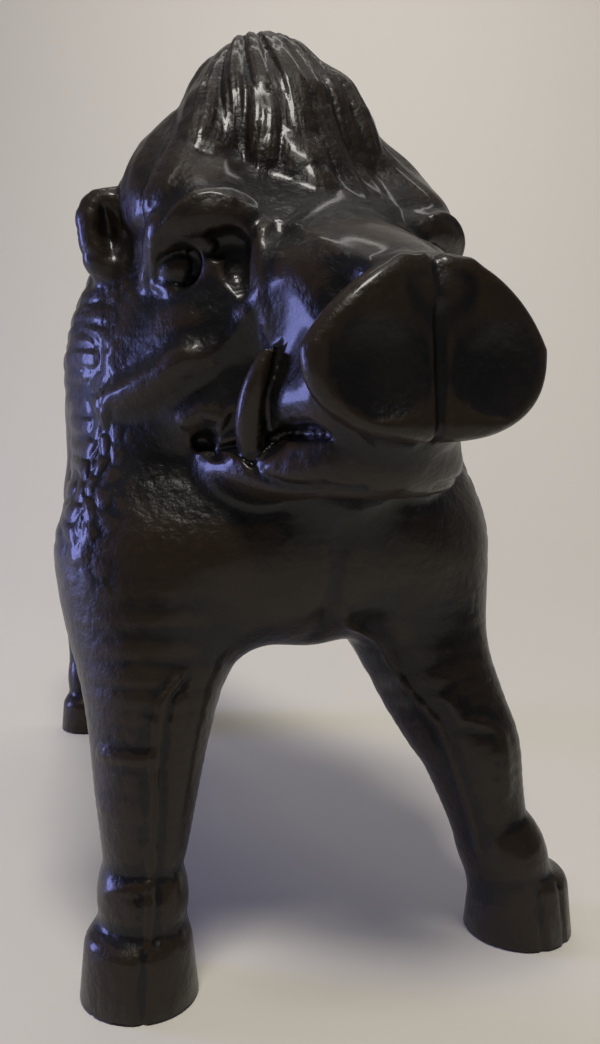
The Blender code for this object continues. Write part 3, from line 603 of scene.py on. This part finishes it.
MANE_END = (0.55, 0.72)         # where the mane runs out along the back
CREST_SPAN = (0.015, 0.060)     # round the crest's middle, from no locks to full ones
RUFF_LEAN = 0.30                # the ruff's front edge leans back with height from RUFF_MIDDLE
RUFF_MIDDLE = 0.60
RUFF_FRONT = (0.09, 0.15)
RUFF_SIDE = (0.10, 0.14)
RUFF_RISE = 0.15                # its lower edge climbs towards the back
RUFF_LOW = (0.36, 0.46)
RUFF_HIGH = (0.84, 0.90)
RUFF_BACK = (0.30, 0.50)


def flow(points):
    """Hair coordinates in metres: across the strands, fanned round the crest, and along them."""
    x, y, z = points.T / HEIGHT
    ahead = CREST_Y - y
    fan = MANE_R * np.arctan2(np.abs(x), np.maximum(ahead, 1e-4))
    behind = MANE_R * math.pi / 2 - ahead
    across = np.where(ahead > 0, fan, behind)
    across -= SIDE_LEAN * np.abs(x) * smoothstep(0.15, 0.35, y)
    across += WAVE_DEPTH * np.sin(z * WAVE_UP + across * WAVE_ACROSS)
    return across * HEIGHT, (LENGTH_LEAN * np.abs(x) - z) * HEIGHT


def locks(across, along, width, length, seed):
    """Overlapping pointed locks: (height from 0 to 1, place across the lock from -1 to 1, lock's number)."""
    across = across + LANE_SWAY * width * np.sin(across / width * LANE_TURNS + seed)
    start = 2 * math.pi * scatter(np.floor(across / width / LANES_ALIKE), seed + 1)
    bend = LOCK_BEND * np.sin(along / length * LOCK_TURNS + start)
    lane = across / width + bend
    cell = np.floor(lane)
    off = 2.0 * (lane - cell) - 1.0
    step = along / length + scatter(cell, seed)
    run = step - np.floor(step)
    half = 1.0 - LOCK_POINT * run ** 3
    body = np.clip(1.0 - (off / half) ** 2, 0.0, 1.0) ** LOCK_ROUND
    ends = smoothstep(0.0, LOCK_START, run) * (1.0 - smoothstep(LOCK_END, 1.0, run))
    return body * (LOCK_LOW + (1.0 - LOCK_LOW) * ends), off, cell


def mane_line(points):
    """Height over the hair line in shares: the forehead's edge in front, lower down the back."""
    x, y, z = points.T / HEIGHT
    line = np.interp(np.abs(x), *np.array(HAIR_LINE).T)
    return z - line - np.interp(y, *np.array(BACK_LINE).T)


def mane_share(points, off, cell):
    """1 on the mane, whose edge runs out in a point at each lock."""
    y = points[:, 1] / HEIGHT
    over = mane_line(points) - EDGE_UNEVEN * scatter(cell, 3) - EDGE_POINT * np.abs(off) ** 1.5
    return smoothstep(*HAIR_EDGE, over) * (1.0 - smoothstep(*MANE_END, y))


def mane_height(points):
    """How far the mane's carved locks and strands stand over the skin, in metres."""
    across, along = flow(points)
    side = np.sign(points[:, 0])
    rise, off, cell = locks(across + PARTING * MANE_WIDTH * side, along, MANE_WIDTH, MANE_LENGTH, 4)
    near_crest = np.hypot(points[:, 0], points[:, 1] - CREST_Y * HEIGHT) / HEIGHT
    clear = smoothstep(*CREST_SPAN, near_crest)
    strands = STRAND_DEPTH * np.cos(math.pi * STRANDS * off) * rise
    found = MANE_RISE + (MANE_DEPTH * rise + strands) * clear
    low = 1.0 - LOW_MANE * smoothstep(*LOW_MANE_SPAN, points[:, 2] / HEIGHT)
    return found * low * mane_share(points, off, cell)


def ruff_share(points):
    """The short fur on the neck's sides, from the jowl back over the shoulder."""
    x, y, z = points.T / HEIGHT
    front = smoothstep(*RUFF_FRONT, y - RUFF_LEAN * (z - RUFF_MIDDLE)) * smoothstep(*RUFF_SIDE, np.abs(x))
    tall = smoothstep(*RUFF_LOW, z - RUFF_RISE * y) * (1.0 - smoothstep(*RUFF_HIGH, z))
    return front * tall * (1.0 - smoothstep(*RUFF_BACK, y))


def carve(points, normal):
    """Raise the hair, the fur and the lines along the skin's own direction."""
    across, along = flow(points)
    tufts, _, _ = locks(across, along, TUFT_WIDTH, TUFT_LENGTH, 11)
    found = mane_height(points) + TUFT_DEPTH * tufts * ruff_share(points)
    for path, width, height, both in STROKES:
        Stroke(path, width, height).add(found, mirror_points(points) if both else points)
    return points + normal * found[:, None]


# Mesh

def apply_modifier(item, kind, **settings):
    modifier = item.modifiers.new(kind.title(), kind)
    for name, value in settings.items():
        setattr(modifier, name, value)
    depsgraph = bpy.context.evaluated_depsgraph_get()
    made = bpy.data.meshes.new_from_object(item.evaluated_get(depsgraph))
    item.modifiers.clear()
    old, item.data = item.data, made
    bpy.data.meshes.remove(old)


def get_points(mesh):
    flat = np.empty(len(mesh.vertices) * 3)
    mesh.vertices.foreach_get("co", flat)
    return flat.reshape(-1, 3)


def set_points(mesh, points):
    mesh.vertices.foreach_set("co", points.ravel())
    mesh.update()


def settle_mesh(item, rounds):
    """Draw all points but those of the soles onto the skin."""
    points = get_points(item.data)
    free = points[:, 2] > 0.4 * VOXEL
    normal = np.zeros_like(points)
    points[free], normal[free] = settle(points[free], rounds, 1.5 * VOXEL)
    points[:, 2] = np.maximum(points[:, 2], 0.0)
    set_points(item.data, points)
    return points, normal


FINE = ((-0.13, -0.22, 0.48), (0.24, 0.20, 1.02))    # box of the face that gets a finer mesh, in shares


def refine(item):
    """Split the faces of the head's front once more."""
    bm = bmesh.new()
    bm.from_mesh(item.data)
    low, high = (share(*corner) for corner in FINE)
    low[0] = -high[0]
    points = get_points(item.data)
    inside = ((points > low) & (points < high)).all(axis=1)
    bm.verts.ensure_lookup_table()
    edges = [e for e in bm.edges if inside[e.verts[0].index] and inside[e.verts[1].index]]
    bmesh.ops.subdivide_edges(bm, edges=edges, cuts=1, use_grid_fill=True)
    bm.to_mesh(item.data)
    bm.free()


def convexity(mesh, points, normal, rounds):
    """How far each point stands over its neighbours, spread over a few rings: ridges over 0."""
    edges = np.empty(len(mesh.edges) * 2, dtype=np.int64)
    mesh.edges.foreach_get("vertices", edges)
    a, b = edges.reshape(-1, 2).T
    count = np.bincount(a, minlength=len(points)) + np.bincount(b, minlength=len(points))

    def spread(values):
        total = np.bincount(a, values[b], len(points)) + np.bincount(b, values[a], len(points))
        return total / np.maximum(count, 1)

    level = np.column_stack([spread(row) for row in points.T])
    found = ((points - level) * normal).sum(axis=1)
    for _ in range(rounds):
        found = 0.5 * found + 0.5 * spread(found)
    return found


def add_values(mesh, name, values):
    kind = "FLOAT" if values.ndim == 1 else "FLOAT_VECTOR"
    layer = mesh.attributes.new(name, kind, "POINT")
    layer.data.foreach_set("value" if values.ndim == 1 else "vector", values.ravel())


def make_skin(node, low, high):
    item = bpy.data.objects.new("boar_skin", node.data.copy())
    bpy.context.scene.collection.objects.link(item)
    item.data.materials.clear()
    middle = share(*MIDDLE)
    set_points(item.data, get_points(item.data) + middle)
    apply_modifier(item, "REMESH", mode="VOXEL", voxel_size=1.3 * VOXEL)
    settle_mesh(item, 3)
    apply_modifier(item, "REMESH", mode="VOXEL", voxel_size=VOXEL)
    refine(item)
    points, normal = settle_mesh(item, 4)
    set_points(item.data, carve(points, normal))
    apply_modifier(item, "TRIANGULATE")
    count = len(item.data.polygons)
    if count > TRIANGLES:
        apply_modifier(item, "DECIMATE", decimate_type="COLLAPSE", ratio=TRIANGLES / count)
    points = get_points(item.data)
    mesh = item.data
    normal = np.empty(len(points) * 3)
    mesh.vertices.foreach_get("normal", normal)
    normal = normal.reshape(-1, 3)
    across, along = flow(points)
    add_values(mesh, "ridge", convexity(mesh, points, normal, 3) / (0.02 * VOXEL))
    add_values(mesh, "hair", smoothstep(-0.01, 0.01, mane_line(points)))
    add_values(mesh, "fur", ruff_share(points))
    add_values(mesh, "flow", np.column_stack([across, along, 0.0 * across]))
    own_low, own_high = points.min(axis=0), points.max(axis=0)
    points = (points - own_low) / (own_high - own_low) * (high - low) + low
    set_points(mesh, points)
    mesh.shade_smooth()
    return item


# Materials

def new_material(name):
    material = bpy.data.materials.new(name)
    material.use_nodes = True
    return material, material.node_tree, material.node_tree.nodes["Principled BSDF"]


class Nodes:
    """Short calls that add a node and wire its inputs."""

    def __init__(self, tree):
        self.tree = tree

    def add(self, kind, inputs=(), **settings):
        node = self.tree.nodes.new(kind)
        for name, value in settings.items():
            setattr(node, name, value)
        for key, value in dict(inputs).items():
            socket = node.inputs[key]
            if isinstance(value, bpy.types.NodeSocket):
                self.tree.links.new(value, socket)
            else:
                socket.default_value = value
        return node

    def value(self, name):
        return self.add("ShaderNodeAttribute", attribute_name=name).outputs["Fac"]

    def vector(self, name):
        return self.add("ShaderNodeAttribute", attribute_name=name).outputs["Vector"]

    def math(self, operation, a, b=0.0, clamp=False):
        return self.add("ShaderNodeMath", {0: a, 1: b}, operation=operation, use_clamp=clamp).outputs[0]

    def noise(self, vector, scale, detail=3.0, distortion=0.0):
        node = self.add("ShaderNodeTexNoise", {"Vector": vector, "Scale": scale, "Detail": detail,
                                               "Distortion": distortion})
        return node.outputs["Fac"]

    def span(self, value, low, high, to_low=0.0, to_high=1.0):
        node = self.add("ShaderNodeMapRange", {"Value": value, "From Min": low, "From Max": high,
                                               "To Min": to_low, "To Max": to_high})
        return node.outputs["Result"]

    def blend(self, factor, a, b):
        node = self.add("ShaderNodeMix", {"Factor": factor}, data_type="RGBA")
        colours = [socket for socket in node.inputs if socket.type == "RGBA"]
        for socket, value in zip(colours, (a, b)):
            if isinstance(value, bpy.types.NodeSocket):
                self.tree.links.new(value, socket)
            else:
                socket.default_value = value
        return [socket for socket in node.outputs if socket.type == "RGBA"][0]

    def stretch(self, vector, scale):
        node = self.add("ShaderNodeVectorMath", {0: vector, 1: scale}, operation="MULTIPLY")
        return node.outputs["Vector"]


BLACK = (0.0040, 0.0034, 0.0030, 1)
BROWN = (0.030, 0.018, 0.009, 1)
DUST = (0.0095, 0.0082, 0.0070, 1)
CLOUDS = 60.0             # sizes of the noises, per metre
LUMPS = 170.0
COARSE = 420.0
GRAIN = 1400.0
STRAND_CELLS = (1100.0, 90.0, 1.0)    # across and along the hair
TUFT_CELLS = (780.0, 300.0, 1.0)
WORN_MOST = 0.6
ROUGHNESS = (0.34, 0.58)
BUMP_STRENGTH = 0.80
BUMP_DEPTH = 0.0005


def black_paint():
    """Old black paint over cast iron: grain of the casting, browner on ridges and hair, dusty in patches."""
    material, tree, shader = new_material("old_black_paint")
    n = Nodes(tree)
    place = n.add("ShaderNodeTexCoord").outputs["Object"]
    ridge = n.value("ridge")
    hair = n.value("hair")
    fur = n.value("fur")
    along_hair = n.vector("flow")
    cloud = n.noise(place, CLOUDS, 4.0)
    grain = n.noise(place, GRAIN, 2.0)
    coarse = n.noise(place, COARSE, 3.0)
    lumps = n.noise(place, LUMPS, 2.0, 0.3)
    worn = n.span(n.math("ADD", ridge, n.math("MULTIPLY", cloud, 0.8)), 0.7, 1.7)
    worn = n.math("ADD", worn, n.math("MULTIPLY", n.math("MULTIPLY", hair, cloud), 0.7), True)
    colour = n.blend(n.span(cloud, 0.35, 0.75), BLACK, DUST)
    colour = n.blend(n.math("MULTIPLY", worn, WORN_MOST), colour, BROWN)
    tree.links.new(colour, shader.inputs["Base Color"])
    rough = n.span(n.math("ADD", cloud, n.math("MULTIPLY", coarse, 0.5)), 0.5, 1.1, *ROUGHNESS)
    tree.links.new(rough, shader.inputs["Roughness"])
    shader.inputs["Metallic"].default_value = 0.0
    shader.inputs["Specular IOR Level"].default_value = 0.20
    shader.inputs["Coat Weight"].default_value = 0.32
    shader.inputs["Coat Roughness"].default_value = 0.13

    # fine strands run along the hair; tufts are short cells that run down the neck
    strands = n.noise(n.stretch(along_hair, STRAND_CELLS), 1.0, 2.0, 0.4)
    cells = n.add("ShaderNodeTexVoronoi", {"Vector": n.stretch(along_hair, TUFT_CELLS), "Scale": 1.0,
                                          "Randomness": 0.8}, feature="SMOOTH_F1")
    tufts = n.math("SUBTRACT", 1.0, cells.outputs["Distance"])
    height = n.math("MULTIPLY", grain, 0.22)
    height = n.math("ADD", height, n.math("MULTIPLY", coarse, 0.95))
    height = n.math("ADD", height, n.math("MULTIPLY", lumps, 1.1))
    height = n.math("ADD", height, n.math("MULTIPLY", n.math("MULTIPLY", strands, hair), 0.55))
    height = n.math("ADD", height, n.math("MULTIPLY", n.math("MULTIPLY", tufts, fur), 0.50))
    bump = n.add("ShaderNodeBump", {"Height": height, "Strength": BUMP_STRENGTH, "Distance": BUMP_DEPTH})
    tree.links.new(bump.outputs["Normal"], shader.inputs["Normal"])
    return material


FLOOR = (0.70, 0.67, 0.60, 1)


def floor_material():
    material, tree, shader = new_material("pale_floor")
    shader.inputs["Base Color"].default_value = FLOOR
    shader.inputs["Roughness"].default_value = 0.8
    return material


# Stage, lights and camera

SWEEP_NEAR = -1.2         # the floor's edge towards the camera, in metres
SWEEP_BACK = 0.35         # where it starts to rise
SWEEP_RADIUS = 0.90
SWEEP_TOP = 1.6
SWEEP_HALF = 1.6
SWEEP_STEPS = 12
VIEW_TURN = math.radians(25)    # the camera looks along +Y turned this much towards +X
VIEW_DIP = math.radians(6.96)
CAMERA = (-0.4557, -0.8706, 0.5910)    # in shares of the height, in the form's own frame
LENS = 34.48


def make_floor():
    profile = [(SWEEP_NEAR, 0.0), (SWEEP_BACK, 0.0)]
    for turn in np.radians(np.linspace(90.0 / SWEEP_STEPS, 90.0, SWEEP_STEPS)):
        profile.append((SWEEP_BACK + SWEEP_RADIUS * math.sin(turn), SWEEP_RADIUS * (1 - math.cos(turn))))
    profile.append((SWEEP_BACK + SWEEP_RADIUS, SWEEP_TOP))
    bm = bmesh.new()
    c, s = math.cos(VIEW_TURN), math.sin(VIEW_TURN)
    rows = []
    for away, up in profile:
        row = []
        for side in (-SWEEP_HALF, SWEEP_HALF):
            row.append(bm.verts.new((side * c + away * s, away * c - side * s, up)))
        rows.append(row)
    for (a, b), (d, e) in zip(rows, rows[1:]):
        bm.faces.new((a, b, e, d))
    mesh = bpy.data.meshes.new("floor")
    bm.to_mesh(mesh)
    bm.free()
    mesh.shade_smooth()
    floor = bpy.data.objects.new("floor", mesh)
    bpy.context.scene.collection.objects.link(floor)
    floor.data.materials.append(floor_material())


def aim(item, target):
    way = Vector(target) - item.location
    item.rotation_mode = "QUATERNION"
    item.rotation_quaternion = way.to_track_quat("-Z", "Y")


# name, place (right, ahead, up) as the camera sees the figure, the point it faces, size, watts, colour
LIGHTS = [
    ("window", (-0.90, 0.12, 0.20), (0, 0, 0.12), (0.24, 0.38), 4.6, (0.36, 0.40, 1.0)),
    ("ceiling", (0.00, -0.42, 1.10), (0, 0, 0), (0.34, 0.26), 8.2, (1.0, 0.96, 0.90)),
    ("back_ceiling", (0.15, 0.50, 1.10), (0.25, 1.25, 0.30), (0.9, 0.3), 4.8, (1.0, 0.96, 0.90)),
]
ROOM = (0.070, 0.072, 0.085, 1)      # the dim room that the paint reflects
BACKDROP = (0.60, 0.57, 0.52, 1)     # what shows past the floor's edge


def make_lights():
    right = Vector((math.cos(VIEW_TURN), -math.sin(VIEW_TURN), 0))
    ahead = Vector((math.sin(VIEW_TURN), math.cos(VIEW_TURN), 0))
    for name, (r, a, u), (to_r, to_a, to_u), size, watts, colour in LIGHTS:
        lamp = bpy.data.lights.new(name, "AREA")
        lamp.shape = "RECTANGLE"
        lamp.size, lamp.size_y = size
        lamp.energy = watts
        lamp.color = colour
        item = bpy.data.objects.new(name, lamp)
        item.location = right * r + ahead * a + Vector((0, 0, u))
        bpy.context.scene.collection.objects.link(item)
        aim(item, right * to_r + ahead * to_a + Vector((0, 0, to_u)))
    world = bpy.data.worlds.new("room")
    bpy.context.scene.world = world
    world.use_nodes = True
    n = Nodes(world.node_tree)
    seen = n.add("ShaderNodeLightPath").outputs["Is Camera Ray"]
    world.node_tree.links.new(n.blend(seen, ROOM, BACKDROP),
                              world.node_tree.nodes["Background"].inputs["Color"])


def make_camera():
    data = bpy.data.cameras.new("camera")
    data.lens = LENS
    data.sensor_width = 36.0
    data.clip_start = 0.01
    data.clip_end = 10.0
    camera = bpy.data.objects.new("camera", data)
    camera.location = share(*CAMERA) - share(*MIDDLE)
    way = Vector((math.sin(VIEW_TURN) * math.cos(VIEW_DIP), math.cos(VIEW_TURN) * math.cos(VIEW_DIP),
                  -math.sin(VIEW_DIP)))
    bpy.context.scene.collection.objects.link(camera)
    aim(camera, camera.location + way)
    bpy.context.scene.camera = camera


def main():
    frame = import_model()
    low, high = (np.array(corner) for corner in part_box("boar"))
    item = make_skin(frame["nodes"]["boar"], low, high)
    item.data.materials.append(black_paint())
    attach(item, "root")
    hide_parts("boar")
    make_floor()
    make_lights()
    make_camera()
    bpy.context.scene.view_settings.view_transform = "Standard"


main()
